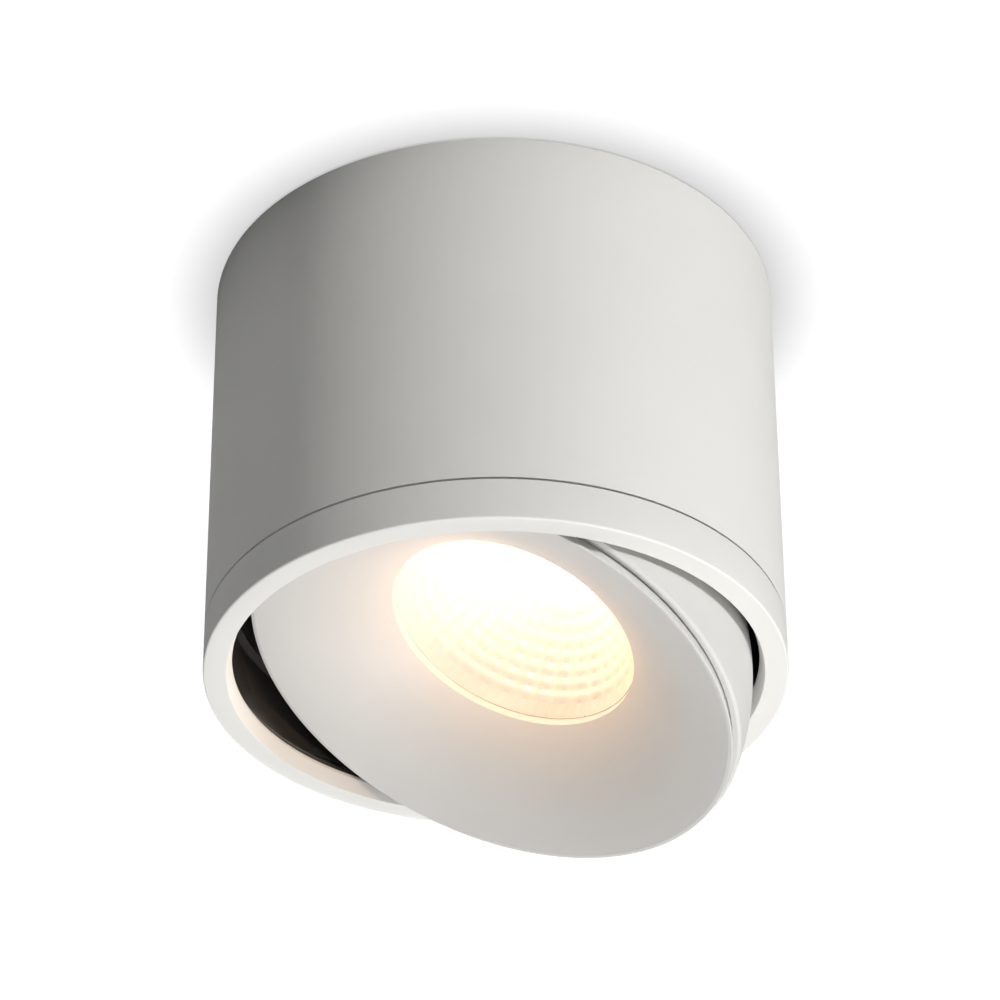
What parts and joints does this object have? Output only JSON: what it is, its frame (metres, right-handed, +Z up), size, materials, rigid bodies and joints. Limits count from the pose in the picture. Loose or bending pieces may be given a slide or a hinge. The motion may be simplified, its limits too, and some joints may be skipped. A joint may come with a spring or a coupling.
{
  "type": "surface mounted ceiling spotlight",
  "caption": "White cylindrical ceiling spotlight with a tilting lamp head, white dish and faceted reflector in a turning trim ring.",
  "frame": {"origin": "centre of the ceiling plate's upper face, which lies on the ceiling", "axes": "+Z up into the ceiling along the housing's axis; +X to the right as pictured; +Y away from the viewer, along the line from the middle to the cable entry"},
  "size_m": [0.1, 0.1, 0.0967],
  "materials": {
    "white_coat": "matte white powder coat",
    "black_coat": "gloss black",
    "black_anodised": "black anodised",
    "zinc_steel": "zinc plated",
    "spring_steel": "phosphated spring steel",
    "white_plastic": "matte",
    "grey_plastic": "matte",
    "slide_plastic": "natural acetal",
    "rubber": "matte",
    "reflector_metal": "metallised, polished",
    "board": "white solder mask",
    "foil": "grey silicone foil",
    "phosphor": "emissive yellow phosphor in silicone"
  },
  "bodies": {
    "housing": {"mounting_plate": "zinc_steel", "cable_grommet": "rubber", "lock_studs": "zinc_steel", "housing_shell": "white_coat", "driver_case": "grey_plastic", "driver_cover": "grey_plastic", "driver_screws": "zinc_steel", "terminal_block": "white_plastic", "terminal_screws": "zinc_steel", "slide_ring": "slide_plastic"},
    "gimbal": {"trim_ring": "white_coat", "inner_barrel": "black_coat", "snap_ring": "spring_steel", "stop_pin": "zinc_steel", "pivot_pins": "zinc_steel", "bump_stops": "rubber"},
    "lamp_head": {"head_shell": "white_coat", "front_baffle": "white_coat", "reflector": "reflector_metal", "led_holder": "white_plastic", "led_board": "board", "thermal_pad": "foil", "led_emitter": "phosphor", "holder_screws": "zinc_steel", "heat_sink": "black_anodised", "head_screws": "zinc_steel", "lead_grommet": "rubber"}
  },
  "joints": [
    {"name": "pan", "type": "hinge", "parent": "housing", "child": "gimbal", "pos_m": [0, 0, -0.06], "axis": [0, 0, 1], "range_deg": [-175, 175]},
    {"name": "tilt", "type": "hinge", "parent": "gimbal", "child": "lamp_head", "pos_m": [0, 0, -0.07583], "axis": [-0.3608, 0.9326, 0], "range_deg": [-53.24, 6.76]}
  ]
}
